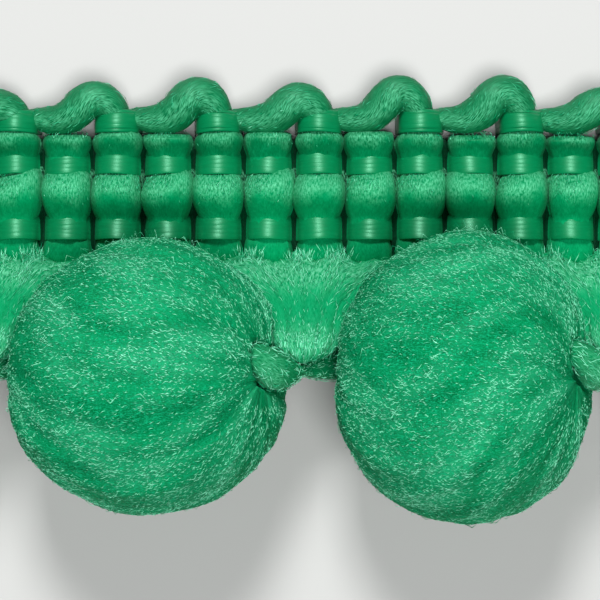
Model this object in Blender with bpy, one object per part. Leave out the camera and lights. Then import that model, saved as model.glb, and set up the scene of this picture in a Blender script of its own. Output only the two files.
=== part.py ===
"""Pompom fringe trim, a cut length of four pompoms that lies on its back.

The trim runs along X, the picot edge is at +Y, and the shown face looks up.
All sizes are in millimetres here and are turned into metres by the mesh builder.
"""

import math

import bmesh
import bpy
from mathutils import Matrix, Vector

MM = 0.001

# Heading: yarn columns side by side, one tall and one short in each pair.
COLUMN_PITCH = 2.0
COLUMN_COUNT = 24
FIRST_COLUMN_X = -23.35
TALL_PITCH = 2 * COLUMN_PITCH

# One row of the heading's face: where it lies across the band, how high the yarn
# stands on a column's crest and how high it is in the furrow between two columns.
FACE_ROWS = (
    # (y, crest, furrow)
    (1.78, 0.75, 0.35),
    (2.12, 1.52, 0.55),
    (2.44, 1.02, 0.42),
    (2.66, 1.32, 0.50),
    (2.88, 1.02, 0.42),
    (3.15, 1.60, 0.75),
    (3.95, 1.90, 1.15),
    (4.72, 1.62, 0.80),
    (5.06, 1.00, 0.42),
    (5.30, 1.30, 0.50),
    (5.54, 1.00, 0.42),
    (5.82, 1.52, 0.75),
    (6.18, 1.68, 0.95),
)
# The rows above those differ, because every second column ends lower.
TALL_END = ((6.56, 1.15, 0.55), (6.92, 1.25, 0.48), (7.16, 0.80, 0.35))
SHORT_END = ((6.36, 1.50, 0.55), (6.50, 1.20, 0.48), (6.60, 0.70, 0.35))
SHOULDER = 0.62
FURROW_NOTCH = 0.12

# Picot loop between two tall columns, from the foot beside the one to the leg in the next.
PICOT_PATH = (
    # (x from the next tall column, y, height of the middle, half thickness)
    (-3.78, 6.62, 0.78, 0.36),
    (-3.20, 6.88, 0.82, 0.48),
    (-2.30, 7.10, 0.90, 0.62),
    (-1.40, 7.56, 0.94, 0.66),
    (-0.70, 7.84, 0.92, 0.66),
    (-0.16, 7.56, 0.86, 0.56),
    (0.02, 7.06, 0.80, 0.46),
    (-0.06, 6.58, 0.76, 0.40),
)
PICOT_SIDES = 7

# Pompoms: crimped fibre gathered at a pole on each side, no two quite alike.
POMPOMS = (
    # (x, y, half width, half height, half depth, turn of the lobes)
    (-17.95, -3.20, 5.10, 5.42, 4.95, 0.8),
    (-5.91, -3.16, 5.20, 5.30, 5.00, 0.0),
    (6.06, -3.17, 4.80, 5.50, 5.05, 1.7),
    (18.00, -3.22, 5.12, 5.36, 4.95, 2.6),
)
POMPOM_MIDDLE_Z = 5.0
POLE_LIFT = math.radians(28.0)
FULLNESS = 0.90
RING_ANGLES = (9, 22, 38, 54, 70, 86, 102, 118, 134, 149, 161, 170, 176)
SPOKES = 22
FLAT_SPOT = 0.12

# Locks of fibre on a pompom: their roots are faces of the ball.
LOCK_RINGS = (2, 4, 6, 8)
LOCK_STEP = 3
LOCK_ROOT = 0.42
LOCK_LENGTH = 1.05
LOCK_RISE = 0.34

# Neck between two pompoms: the fibre comes out of a pit, is pinched and goes in behind.
NECK_SPACING = 12.0
NECK_PATH = (
    # (x from the pinch, y, z, half height, half depth)
    (-2.20, -2.78, 6.95, 0.34, 0.30),
    (-1.88, -2.82, 6.95, 0.60, 0.48),
    (-1.35, -2.90, 6.78, 0.72, 0.56),
    (-0.85, -2.94, 6.38, 0.68, 0.54),
    (-0.40, -2.90, 5.78, 0.48, 0.42),
    (0.00, -2.84, 5.15, 0.32, 0.30),
    (0.32, -2.82, 4.60, 0.40, 0.34),
    (0.58, -2.82, 4.05, 0.46, 0.36),
    (0.74, -2.84, 3.50, 0.42, 0.34),
)
NECK_SIDES = 8
NECK_CLEARANCE = 0.75
TRIM_HALF_LENGTH = 24.35

# Skirt: the columns' yarns below the heading, gathered from the root to the pinch.
SKIRT_ROWS = (
    # (y, left half width, right half width, height of the face, thickness)
    (1.46, 6.18, 5.48, 1.25, 1.25),
    (1.16, 5.75, 5.10, 1.60, 1.00),
    (0.55, 4.55, 4.15, 2.10, 0.90),
    (0.10, 3.30, 3.20, 2.55, 0.80),
    (-0.45, 1.45, 1.80, 3.40, 0.75),
    (-0.95, 0.74, 1.12, 4.20, 0.70),
    (-1.50, 0.48, 0.80, 4.75, 0.65),
    (-1.88, 0.40, 0.62, 5.05, 0.60),
    (-2.12, 0.32, 0.42, 5.20, 0.50),
)
SKIRT_YARNS = 6
SKIRT_PARTS = 4
SKIRT_FURROW = 0.30
POMPOM_SWELL = 1.08
SKIRT_CLEARANCE = 0.60

# Everything is moved by this so that the trim's middle is over the origin.
MIDDLE_Y = 0.125


def yarn_material(name, colour, roughness):
    material = bpy.data.materials.new(name)
    material.use_nodes = True
    surface = material.node_tree.nodes["Principled BSDF"]
    surface.inputs["Base Color"].default_value = (*colour, 1.0)
    surface.inputs["Roughness"].default_value = roughness
    return material


def add_body(name, points, faces, material, in_triangles=False):
    mesh = bpy.data.meshes.new(name)
    mesh.from_pydata([(Vector(point) + Vector((0, MIDDLE_Y, 0))) * MM for point in points], [], faces)
    shaped = bmesh.new()
    shaped.from_mesh(mesh)
    if in_triangles:
        bmesh.ops.triangulate(shaped, faces=shaped.faces)
    bmesh.ops.recalc_face_normals(shaped, faces=shaped.faces)
    shaped.to_mesh(mesh)
    shaped.free()
    mesh.materials.append(material)
    body = bpy.data.objects.new(name, mesh)
    bpy.context.scene.collection.objects.link(body)
    for face in mesh.polygons:
        face.use_smooth = True
    mesh.set_sharp_from_angle(angle=math.radians(40))
    return body


def unevenness(first, second):
    """A repeatable number from -1 to 1 that differs from column to column and row to row."""
    return math.sin(12.9898 * first + 78.233 * second)


def tube_points(path, sides):
    """Rings across a path of (x, y, z, half height, half depth), square to the path."""
    middles = [Vector(stop[:3]) for stop in path]
    points = []
    for index, stop in enumerate(path):
        before = middles[max(index - 1, 0)]
        after = middles[min(index + 1, len(path) - 1)]
        forward = (after - before).normalized()
        upward = Vector((0, 0, 1)) - forward * forward.z
        if upward.length < 0.2:
            upward = Vector((1, 0, 0)) - forward * forward.x
        upward.normalize()
        sideways = upward.cross(forward).normalized()
        for side in range(sides):
            turn = math.tau * (side + 0.5) / sides
            offset = sideways * (math.cos(turn) * stop[3]) + upward * (math.sin(turn) * stop[4])
            points.append(middles[index] + offset)
    return points


def tube_faces(rings, sides):
    faces = [list(range(sides))[::-1], [(rings - 1) * sides + side for side in range(sides)]]
    for ring in range(rings - 1):
        for side in range(sides):
            after = (side + 1) % sides
            faces.append(
                [ring * sides + side, ring * sides + after, (ring + 1) * sides + after, (ring + 1) * sides + side]
            )
    return faces


def column_stops():
    """Places across the columns: each column's two furrows, its shoulders and its crest."""
    stops = []
    for column in range(COLUMN_COUNT):
        middle = FIRST_COLUMN_X + column * COLUMN_PITCH
        for part, share in ((-1.0, 1.0), (-SHOULDER, 0.16), (0.0, 0.0), (SHOULDER, 0.16)):
            stops.append((middle + part * COLUMN_PITCH / 2, column, share))
    stops.append((FIRST_COLUMN_X + (COLUMN_COUNT - 0.5) * COLUMN_PITCH, COLUMN_COUNT - 1, 1.0))
    return stops


def heading_face_rows(column):
    end = TALL_END if column % 2 == 0 else SHORT_END
    return FACE_ROWS + end


def build_heading(material):
    """The band as one closed body: a face of raised columns, straight sides and a flat back."""
    stops = column_stops()
    rows = len(FACE_ROWS) + len(TALL_END)
    points = []
    for row in range(rows):
        for x, column, share in stops:
            y, crest, furrow = heading_face_rows(column)[row]
            if share == 1.0 and row >= len(FACE_ROWS):
                y = (TALL_END[row - len(FACE_ROWS)][0] + SHORT_END[row - len(FACE_ROWS)][0]) / 2
            if row == 0:
                y += FURROW_NOTCH * share
            crest += 0.05 * unevenness(column, row // 3)
            points.append((x, y, crest * (1 - share) + furrow * share))
    width = len(stops)
    faces = []
    for row in range(rows - 1):
        for stop in range(width - 1):
            corner = row * width + stop
            faces.append([corner, corner + 1, corner + 1 + width, corner + width])
    edge = list(range(width))
    edge += [row * width + width - 1 for row in range(1, rows)]
    edge += [(rows - 1) * width + stop for stop in range(width - 2, -1, -1)]
    edge += [row * width for row in range(rows - 2, 0, -1)]
    foot = len(points)
    points += [(points[corner][0], points[corner][1], 0.0) for corner in edge]
    for index, corner in enumerate(edge):
        after = (index + 1) % len(edge)
        faces.append([corner, foot + index, foot + after, edge[after]])
    faces.append([foot + index for index in range(len(edge))][::-1])
    return add_body("heading", points, faces, material, in_triangles=True)


def picot_path(next_tall_x, last_x):
    """One loop's stops, cut off square where the trim ends."""
    path = []
    for x, y, z, half in PICOT_PATH:
        if next_tall_x + x > last_x:
            break
        path.append((next_tall_x + x, y, z, half, half))
    return path


def join_picots(heading, material):
    """Each loop grows out of two tall columns, so it is fused into the band."""
    last_x = FIRST_COLUMN_X + (COLUMN_COUNT - 0.5) * COLUMN_PITCH
    for number in range(COLUMN_COUNT // 2):
        path = picot_path(FIRST_COLUMN_X + (number + 1) * TALL_PITCH, last_x)
        points = tube_points(path, PICOT_SIDES)
        faces = tube_faces(len(path), PICOT_SIDES)
        loop = add_body(f"picot_cutter_{number}", points, faces, material, in_triangles=True)
        loop.hide_render = True
        loop.display_type = "WIRE"
        union = heading.modifiers.new(f"picot_{number}", "BOOLEAN")
        union.operation = "UNION"
        union.solver = "EXACT"
        union.object = loop


def neck_stops(neck_x):
    return [(Vector((neck_x + x, y, z)), max(half_y, half_z)) for x, y, z, half_y, half_z in NECK_PATH]


def clear_of_necks(point, middle, necks):
    """Draws a point of a pompom in toward its middle until it is clear of the pinched fibre."""
    for _ in range(60):
        near = min((point - stop).length - half for stop, half in necks)
        if near >= NECK_CLEARANCE:
            break
        point = point + (middle - point).normalized() * 0.05
    return point


def pompom_point(pompom, pole_angle, turn):
    """A point of the lobed ball; the poles are on the line that leans by POLE_LIFT."""
    x, y, half_x, half_y, half_z, phase = pompom
    reach = math.cos(pole_angle)
    girth = math.sin(pole_angle) ** FULLNESS
    lobes = 1 + 0.022 * math.cos(5 * turn + phase) + 0.014 * math.cos(8 * turn - 2 * phase)
    round_form = Vector((-reach, girth * lobes * math.cos(turn), girth * lobes * math.sin(turn)))
    leaned = Matrix.Rotation(-POLE_LIFT, 3, "Y") @ round_form
    return Vector((x + half_x * leaned.x, y + half_y * leaned.y, POMPOM_MIDDLE_Z + half_z * leaned.z))


def settle(point):
    """The underside rests: what would pass the surface below is pressed into a flat spot."""
    return Vector((point.x, point.y, 0.0 if point.z < FLAT_SPOT else point.z))


def build_pompom(number, pompom, material):
    middle = Vector((pompom[0], pompom[1], POMPOM_MIDDLE_Z))
    necks = neck_stops(NECK_SPACING * (number - 2)) + neck_stops(NECK_SPACING * (number - 1))
    points = []
    for angle in RING_ANGLES:
        for spoke in range(SPOKES):
            turn = math.tau * (spoke + 0.5 * (angle % 2)) / SPOKES
            point = pompom_point(pompom, math.radians(angle), turn)
            points.append(settle(clear_of_necks(point, middle, necks)))
    faces = tube_faces(len(RING_ANGLES), SPOKES)
    body = add_body(f"pompom_{number + 1}", points, faces, material)
    raise_locks(body, middle)
    return body


def raise_locks(body, middle):
    """Pulls short four-sided locks out of chosen faces, all combed along the fibre."""
    shaped = bmesh.new()
    shaped.from_mesh(body.data)
    shaped.faces.ensure_lookup_table()
    chosen = []
    for ring in LOCK_RINGS:
        for spoke in range(ring % LOCK_STEP, SPOKES, LOCK_STEP):
            face = shaped.faces[2 + ring * SPOKES + spoke]
            place = face.calc_center_median() / MM
            if place.z > 2.2 and place.y - middle.y < 3.4 and len(face.verts) == 4:
                chosen.append(face)
    for face in chosen:
        middle_of_face = face.calc_center_median()
        outward = face.normal.copy()
        comb = Vector((-1, 0, 0)) - outward * -outward.x
        comb.normalize()
        bmesh.ops.inset_individual(shaped, faces=[face], thickness=LOCK_ROOT * MM, use_even_offset=True)
        poked = bmesh.ops.poke(shaped, faces=[face])
        tip = poked["verts"][0]
        tip.co = middle_of_face + (comb * LOCK_LENGTH + outward * LOCK_RISE) * MM
    shaped.to_mesh(body.data)
    shaped.free()


def build_neck(number, material):
    """The pinched fibre between two pompoms; a half of it at each cut end of the trim."""
    neck_x = NECK_SPACING * (number - 2)
    path = [(neck_x + x, y, z, half_y, half_z) for x, y, z, half_y, half_z in NECK_PATH]
    if number == 0:
        path = [(-TRIM_HALF_LENGTH, *path[5][1:])] + path[6:]
    if number == len(POMPOMS):
        path = path[:5] + [(TRIM_HALF_LENGTH, *path[5][1:])]
    return add_body(f"neck_{number + 1}", tube_points(path, NECK_SIDES), tube_faces(len(path), NECK_SIDES), material)


def underside_of_pompoms(x, y):
    """How high a yarn may lie at this place before it meets a pompom above it."""
    height = 99.0
    for pompom_x, pompom_y, half_x, half_y, half_z, _ in POMPOMS:
        off = ((x - pompom_x) / (half_x * POMPOM_SWELL)) ** 2 + ((y - pompom_y) / (half_y * POMPOM_SWELL)) ** 2
        if off < 1.0:
            height = min(height, POMPOM_MIDDLE_Z - half_z * POMPOM_SWELL * math.sqrt(1.0 - off))
    return height - SKIRT_CLEARANCE


def build_skirt(number, material):
    """The gathered yarns as one body: ridged face, flat root, furrows between the yarns."""
    neck_x = NECK_SPACING * (number - 2)
    first, last = -SKIRT_YARNS * SKIRT_PARTS // 2, SKIRT_YARNS * SKIRT_PARTS // 2
    if number == 0:
        first = 0
    if number == len(POMPOMS):
        last = 0
    across = list(range(first, last + 1))
    top, bottom = [], []
    for row, (y, left, right, height, thickness) in enumerate(SKIRT_ROWS):
        for stop in across:
            share = stop / (SKIRT_YARNS * SKIRT_PARTS / 2)
            x = neck_x + share * (left if share < 0 else right)
            furrow = SKIRT_FURROW if stop % SKIRT_PARTS == 0 else 0.0
            fall = 0.35 * share * share * height * (row > 0)
            face = height - fall - furrow + 0.04 * unevenness(stop, number)
            face = min(face, underside_of_pompoms(x, y) - furrow / 2)
            back = 0.0 if row == 0 else max(face - thickness + furrow * 0.6, 0.05)
            top.append((x, y + 0.10 * abs(share) * (row > 0), face))
            bottom.append((x, y + 0.10 * abs(share) * (row > 0), back))
    points = top + bottom
    width, depth, under = len(across), len(SKIRT_ROWS), len(top)
    faces = []
    for row in range(depth - 1):
        for stop in range(width - 1):
            corner = row * width + stop
            quad = [corner, corner + 1, corner + 1 + width, corner + width]
            faces.append(quad)
            faces.append([under + index for index in reversed(quad)])
    edge = list(range(width))
    edge += [row * width + width - 1 for row in range(1, depth)]
    edge += [(depth - 1) * width + stop for stop in range(width - 2, -1, -1)]
    edge += [row * width for row in range(depth - 2, 0, -1)]
    for index, corner in enumerate(edge):
        after = edge[(index + 1) % len(edge)]
        faces.append([corner, under + corner, under + after, after])
    return add_body(f"skirt_{number + 1}", points, faces, material)


for leftover in list(bpy.data.objects):
    bpy.data.objects.remove(leftover, do_unlink=True)

heading_yarn = yarn_material("heading_yarn", (0.0, 0.24, 0.09), 0.7)
skirt_yarn = yarn_material("skirt_yarn", (0.0, 0.27, 0.10), 0.75)
neck_fibre = yarn_material("neck_fibre", (0.0, 0.25, 0.095), 0.75)
pompom_fibre = yarn_material("pompom_fibre", (0.005, 0.30, 0.115), 0.8)

band = build_heading(heading_yarn)
join_picots(band, heading_yarn)
for index in range(len(POMPOMS) + 1):
    build_skirt(index, skirt_yarn)
    build_neck(index, neck_fibre)
for index, form in enumerate(POMPOMS):
    build_pompom(index, form, pompom_fibre)
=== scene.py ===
"""Pompom fringe trim: a cut length of green braid with a picot edge and four puffed pompoms.

It lies on its back with the shown face up. The trim runs along X and the picot edge is at +Y.
Sizes in the sections are millimetres of the trim; laid_out() turns them into the frame's metres.
"""
import math

import bpy
import numpy as np
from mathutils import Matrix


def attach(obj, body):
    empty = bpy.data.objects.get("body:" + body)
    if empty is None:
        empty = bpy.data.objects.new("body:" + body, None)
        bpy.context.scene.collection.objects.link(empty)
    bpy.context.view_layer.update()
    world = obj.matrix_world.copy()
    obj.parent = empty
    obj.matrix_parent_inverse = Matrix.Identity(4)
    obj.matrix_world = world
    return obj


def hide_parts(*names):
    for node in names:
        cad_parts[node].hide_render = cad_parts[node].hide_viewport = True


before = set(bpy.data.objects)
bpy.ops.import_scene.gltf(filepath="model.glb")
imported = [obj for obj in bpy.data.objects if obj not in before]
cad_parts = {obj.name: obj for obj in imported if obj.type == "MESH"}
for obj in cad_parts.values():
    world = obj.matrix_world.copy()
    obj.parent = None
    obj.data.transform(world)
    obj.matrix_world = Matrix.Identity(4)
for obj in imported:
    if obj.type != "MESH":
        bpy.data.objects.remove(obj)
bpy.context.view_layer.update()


# Heading columns: soft unglazed yarn that stands in upright ribs, one tall and one short in turn.
# Each rib swells between the rows of binding thread and is drawn in where the thread crosses it.
# Woven as one band, so the ribs lie against each other from end to end.

TRIM_MIDDLE_Y = 0.125
COLUMN_PITCH = 2.0
COLUMN_COUNT = 24
FIRST_COLUMN_X = -23.35
BAND_START_X = FIRST_COLUMN_X - COLUMN_PITCH / 2
BAND_END_X = BAND_START_X + COLUMN_COUNT * COLUMN_PITCH
RIB_SEED = 100
COLUMN_AROUND = 24
COLUMN_ALONG = 54
TALL_RIB = (
    # (y, half width, height)
    (0.98, 0.66, 0.66),
    (1.20, 0.86, 1.02),
    (1.60, 0.95, 1.18),
    (2.02, 0.88, 1.24),
    (2.32, 0.80, 1.20),
    (2.64, 0.77, 1.18),
    (2.96, 0.79, 1.22),
    (3.24, 0.90, 1.46),
    (3.56, 0.99, 1.78),
    (3.86, 1.02, 1.96),
    (4.12, 1.01, 1.94),
    (4.36, 0.98, 1.82),
    (4.60, 0.92, 1.60),
    (4.78, 0.83, 1.34),
    (4.94, 0.78, 1.22),
    (5.28, 0.77, 1.18),
    (5.56, 0.85, 1.32),
    (5.84, 0.95, 1.62),
    (6.10, 0.97, 1.78),
    (6.36, 0.82, 1.70),
    (6.60, 0.62, 1.44),
    (6.84, 0.60, 1.26),
    (7.05, 0.50, 1.05),
)
SHORT_RIB = TALL_RIB[:17] + (
    (5.84, 0.96, 1.52),
    (6.08, 0.99, 1.68),
    (6.26, 0.97, 1.62),
    (6.38, 0.91, 1.38),
    (6.45, 0.70, 0.95),
)
RIB_MIDDLE = 0.45
RIB_SIDE_POWER = 0.80
RIB_CREST_POWER = 0.86
RIB_LEAN = 0.04
RIB_UNEVEN = 0.03
RIDGES_COARSE = 0.022
RIDGES_FINE = 0.012
LOWEST_Z = 0.02
FOOT_END_Y = 6.1
FOOT_TOP = -0.2
FOOT_LAP = 0.28
# Short ribs end a little lower or higher than each other, and the bulges lean to one side.
SHORT_DROP = (-0.04, 0.20)
SHORT_DROP_START = 5.7
TOP_SLANT = 0.04
TOP_SLANT_START = 5.6
BULGE_SLANT = (-0.05, 0.38)
BULGE_SLANT_Y = 4.50
BULGE_SLANT_REACH = 0.55
SLANT_END_Y = 7.2
# The upper part of each bulge is brushed up and painted lighter, partly as painted highlight where the light
# from the picot side falls on the upper slopes, with a ragged lower border. The tops are painted lighter in
# the same way.
BRUSHED_HIGHLIGHT_BORDER_Y = 3.60
BRUSHED_HIGHLIGHT_FADE = 0.55
BULGE_BRUSHED_HIGHLIGHT = 0.66
BULGE_END_Y = 4.9
TOP_ABOVE_BULGE = 2.25
TOP_FADE = 0.4
TOP_BRUSHED_HIGHLIGHT = (0.50, 0.62)
# Which of the three yarn tones a rib's faces have: its swell, the furrow beside it, painted near black as
# shade, and its top, painted darker as shade.
IN_COLUMN, IN_SHADED_FURROW, IN_SHADED_CROWN = range(3)
SHADED_FURROW_TOP = -0.1
SHADED_CROWN_START_Y = 5.3
COLUMN_TONES = ((0.0, 0.180, 0.059), (0.0, 0.240, 0.084), (0.004, 0.300, 0.116))
# Painted shade: near-black yarn for the faces low in the furrows between ribs, where shade falls.
PAINTED_SHADE_FURROW_TONES = ((0.0, 0.022, 0.008), (0.0, 0.034, 0.012), (0.0, 0.048, 0.018))
# Painted shade: a darker yarn for the tops of the ribs above the upper binding.
PAINTED_SHADE_CROWN_TONES = ((0.0, 0.128, 0.041), (0.0, 0.175, 0.060), (0.003, 0.230, 0.088))
# The pale tint for brushed-up fuzz, also used as painted highlight on the slopes and sides that face the
# light.
BRUSHED_AND_HIGHLIGHT_TONE = (0.118, 0.550, 0.300, 1)
GLINT_TINT = (0.40, 1.0, 0.68, 1)
SHEEN_TINT = (0.35, 1.0, 0.65, 1)
COLUMN_FILAMENTS = (42.0, 6.5, 1.0)
COLUMN_CLUMPS = (7.0, 2.4, 1.0)
FILAMENT_SHARE = 0.6
WISPS_FROM = 0.41
WISPS_FULL = 0.62
YARN_RELIEF = 0.00006


def laid_out(points):
    """Millimetres of the trim as metres of the frame."""
    return (np.asarray(points, float) + (0.0, TRIM_MIDDLE_Y, 0.0)) * 0.001


def unit(vectors):
    """The same directions, each one long."""
    return vectors / np.maximum(np.linalg.norm(vectors, axis=-1, keepdims=True), 1e-9)


def ring_turns(around):
    """The angles of the points of a ring."""
    return np.linspace(0, math.tau, around, endpoint=False)


def ring_faces(rings, around, first):
    """Quads between closed rings, and the two end caps as fans of the ring's own points."""
    ring = np.arange(rings - 1)[:, None] * around
    spoke = np.arange(around)[None, :]
    after = (spoke + 1) % around
    quads = np.stack([ring + spoke, ring + after, ring + around + after, ring + around + spoke], -1)
    caps = np.stack([np.arange(around)[::-1], (rings - 1) * around + np.arange(around)])
    return quads.reshape(-1, 4) + first, caps + first


def ring_run(lap, along):
    """How the yarn runs under each point of a body's rings: lap goes round, along lengthwise."""
    return np.stack([np.tile(lap, len(along)), np.repeat(along, len(lap))], -1)


def made_piece(name, points, faces, materials, tones=None, runs=None, brushed_and_highlight=None):
    """A shown piece from arrays: points, faces of one or more widths, a tone for each face,
    how the yarn runs under each point and how much it is painted lighter there: brushed-up fuzz together
    with painted highlight."""
    mesh = bpy.data.meshes.new(name)
    points = laid_out(points)
    groups = [np.asarray(group, np.int32) for group in faces if len(group)]
    corners = np.concatenate([group.ravel() for group in groups])
    totals = np.concatenate([np.full(len(group), group.shape[1], np.int32) for group in groups])
    starts = np.concatenate([[0], np.cumsum(totals)[:-1]]).astype(np.int32)
    mesh.vertices.add(len(points))
    mesh.vertices.foreach_set("co", points.astype(np.float32).ravel())
    mesh.loops.add(len(corners))
    mesh.loops.foreach_set("vertex_index", corners)
    mesh.polygons.add(len(totals))
    mesh.polygons.foreach_set("loop_start", starts)
    for material in materials:
        mesh.materials.append(material)
    mesh.update(calc_edges=True)
    mesh.polygons.foreach_set("use_smooth", np.ones(len(totals), bool))
    if tones is not None:
        mesh.polygons.foreach_set("material_index", np.asarray(tones, np.int32))
    if runs is not None:
        layer = mesh.uv_layers.new(name="yarn_run")
        layer.data.foreach_set("uv", np.asarray(runs, np.float32)[corners].ravel())
    if brushed_and_highlight is not None:
        layer = mesh.attributes.new("brushed_and_highlight", "FLOAT", "POINT")
        layer.data.foreach_set("value", np.asarray(brushed_and_highlight, np.float32))
    mesh.validate()
    piece = bpy.data.objects.new(name, mesh)
    bpy.context.scene.collection.objects.link(piece)
    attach(piece, "root")
    return piece


def ringed_piece(name, bodies, materials, runs, brushed_and_highlight=None, tones=None):
    """A shown piece of closed bodies, each an array of rings of points. Each body has its own
    entry in runs and in how much it is painted lighter (brushed-up fuzz and painted highlight), for its
    points, and in tones, for the faces between its rings."""
    quads, caps, made = [], [], 0
    for rings in bodies:
        body_quads, body_caps = ring_faces(rings.shape[0], rings.shape[1], made)
        quads.append(body_quads)
        caps.append(body_caps)
        made += rings.shape[0] * rings.shape[1]
    if tones is not None:
        tones = np.concatenate(tones + [np.zeros(2 * len(bodies), int)])
    if brushed_and_highlight is not None:
        brushed_and_highlight = np.concatenate(brushed_and_highlight)
    points = np.concatenate([rings.reshape(-1, 3) for rings in bodies])
    faces = [np.concatenate(quads), np.concatenate(caps)]
    return made_piece(name, points, faces, materials, tones, np.concatenate(runs), brushed_and_highlight)


def between(stops, count):
    """A short table read at even steps from its first row to its last, smoothly."""
    stops = np.asarray(stops, float)
    steps = np.linspace(0, len(stops) - 1, count)
    low = np.clip(np.floor(steps).astype(int), 0, len(stops) - 2)
    share = (steps - low)[:, None]
    before = stops[np.clip(low - 1, 0, None)]
    start, end = stops[low], stops[low + 1]
    past = stops[np.clip(low + 2, None, len(stops) - 1)]
    return (
        start
        + 0.5 * share * (end - before)
        + share**2 * (before - 2.5 * start + 2 * end - 0.5 * past)
        + share**3 * (1.5 * (start - end) + 0.5 * (past - before))
    )


def fed(tree, node, sockets):
    """Sets a node's sockets, each to a plain value or to what another node gives."""
    for socket, value in sockets.items():
        if isinstance(value, bpy.types.NodeSocket):
            tree.links.new(value, node.inputs[socket])
        else:
            node.inputs[socket].default_value = value
    return node


def combed_material(name):
    """A new material: its surface, how the yarn runs there and how much it is painted lighter, for
    brushed-up fuzz and as painted highlight.
    """
    material = bpy.data.materials.new(name)
    material.use_nodes = True
    tree = material.node_tree
    surface = fed(tree, tree.nodes["Principled BSDF"], {"Specular Tint": GLINT_TINT})
    run = tree.nodes.new("ShaderNodeUVMap")
    run.uv_map = "yarn_run"
    brushed_and_highlight = tree.nodes.new("ShaderNodeAttribute")
    brushed_and_highlight.attribute_name = "brushed_and_highlight"
    return material, tree, surface, run.outputs["UV"], brushed_and_highlight.outputs["Fac"]


def noise_along(tree, run, detail, stretch, shift=(0.0, 0.0, 0.0), roughness=0.62):
    """Noise drawn out by stretch = (x, y, z) along the yarn, as fine filaments are."""
    mapping = tree.nodes.new("ShaderNodeMapping")
    fed(tree, mapping, {"Vector": run, "Scale": stretch, "Location": shift})
    noise = fed(tree, tree.nodes.new("ShaderNodeTexNoise"), {
        "Vector": mapping.outputs["Vector"], "Scale": 1.0, "Detail": detail, "Roughness": roughness,
    })
    return noise.outputs["Fac"]


def reckoned(tree, operation, *values, clamped=False):
    """One step of arithmetic on sockets and plain numbers."""
    step = tree.nodes.new("ShaderNodeMath")
    step.operation = operation
    step.use_clamp = clamped
    return fed(tree, step, dict(enumerate(values))).outputs["Value"]


def ranged(tree, value, low, high, start=0.0, end=1.0):
    """A value that goes from start to end, told again as one from low to high."""
    span = fed(tree, tree.nodes.new("ShaderNodeMapRange"), {
        "Value": value, "From Min": start, "From Max": end, "To Min": low, "To Max": high,
    })
    return span.outputs["Result"]


def toned(tree, value, stops):
    """The colour for a value, from stops = (place, colour): lowest, highest and any between."""
    ramp = fed(tree, tree.nodes.new("ShaderNodeValToRGB"), {"Fac": value})
    elements = ramp.color_ramp.elements
    for number, (place, colour) in enumerate(stops):
        element = elements[number] if number < 2 else elements.new(place)
        element.position = place
        element.color = (*colour, 1)
    return ramp.outputs["Color"]


def tinted(tree, share, colour, tint):
    """A colour that gives way to a tint by a share."""
    dye = tree.nodes.new("ShaderNodeMix")
    dye.data_type = "RGBA"
    return fed(tree, dye, {"Factor": share, "A": colour, "B": tint}).outputs["Result"]


def relief(tree, height, strength, depth):
    """The fine relief of filaments on a surface."""
    bump = tree.nodes.new("ShaderNodeBump")
    return fed(tree, bump, {"Height": height, "Strength": strength, "Distance": depth}).outputs["Normal"]


def yarn_material(name, tones, filaments, clumps, bump, roughness, crosswise, glint):
    """Soft spun yarn: filaments along the piece's own run, in darker and lighter streaks,
    lighter where it is brushed up and where highlight is painted on. Its shine spreads crosswise, as on any
    combed filament."""
    deep, middle, light = tones
    material, tree, surface, run, brushed_and_highlight = combed_material(name)
    fine = noise_along(tree, run, 3.0, filaments)
    coarse_part = reckoned(tree, "MULTIPLY", noise_along(tree, run, 2.0, clumps), 1 - FILAMENT_SHARE)
    blend = reckoned(tree, "MULTIPLY_ADD", fine, FILAMENT_SHARE, coarse_part)
    dyed = toned(tree, blend, ((0.34, deep), (0.66, light), (0.50, middle)))
    wisps = ranged(tree, fine, 0.0, 1.0, WISPS_FROM, WISPS_FULL)
    lengthwise = tree.nodes.new("ShaderNodeTangent")
    lengthwise.direction_type = "UV_MAP"
    lengthwise.uv_map = "yarn_run"
    fed(tree, surface, {
        "Base Color": tinted(tree, reckoned(tree, "MULTIPLY", brushed_and_highlight, wisps), dyed, BRUSHED_AND_HIGHLIGHT_TONE),
        "Roughness": ranged(tree, blend, roughness + 0.10, roughness - 0.10),
        "Normal": relief(tree, blend, bump, YARN_RELIEF),
        "Specular IOR Level": glint,
        "Anisotropic": crosswise,
        "Tangent": lengthwise.outputs["Tangent"],
        "Sheen Weight": 0.03,
        "Sheen Roughness": 0.4,
        "Sheen Tint": SHEEN_TINT,
    })
    return material


def rib_form(column):
    """The stops of a rib: tall and short ribs take turns."""
    return np.asarray(TALL_RIB if column % 2 == 0 else SHORT_RIB)


def boxed(wave, power):
    """A sine or cosine with its turns filled out, which makes a circle boxy."""
    return np.sign(wave) * np.abs(wave) ** power


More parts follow.
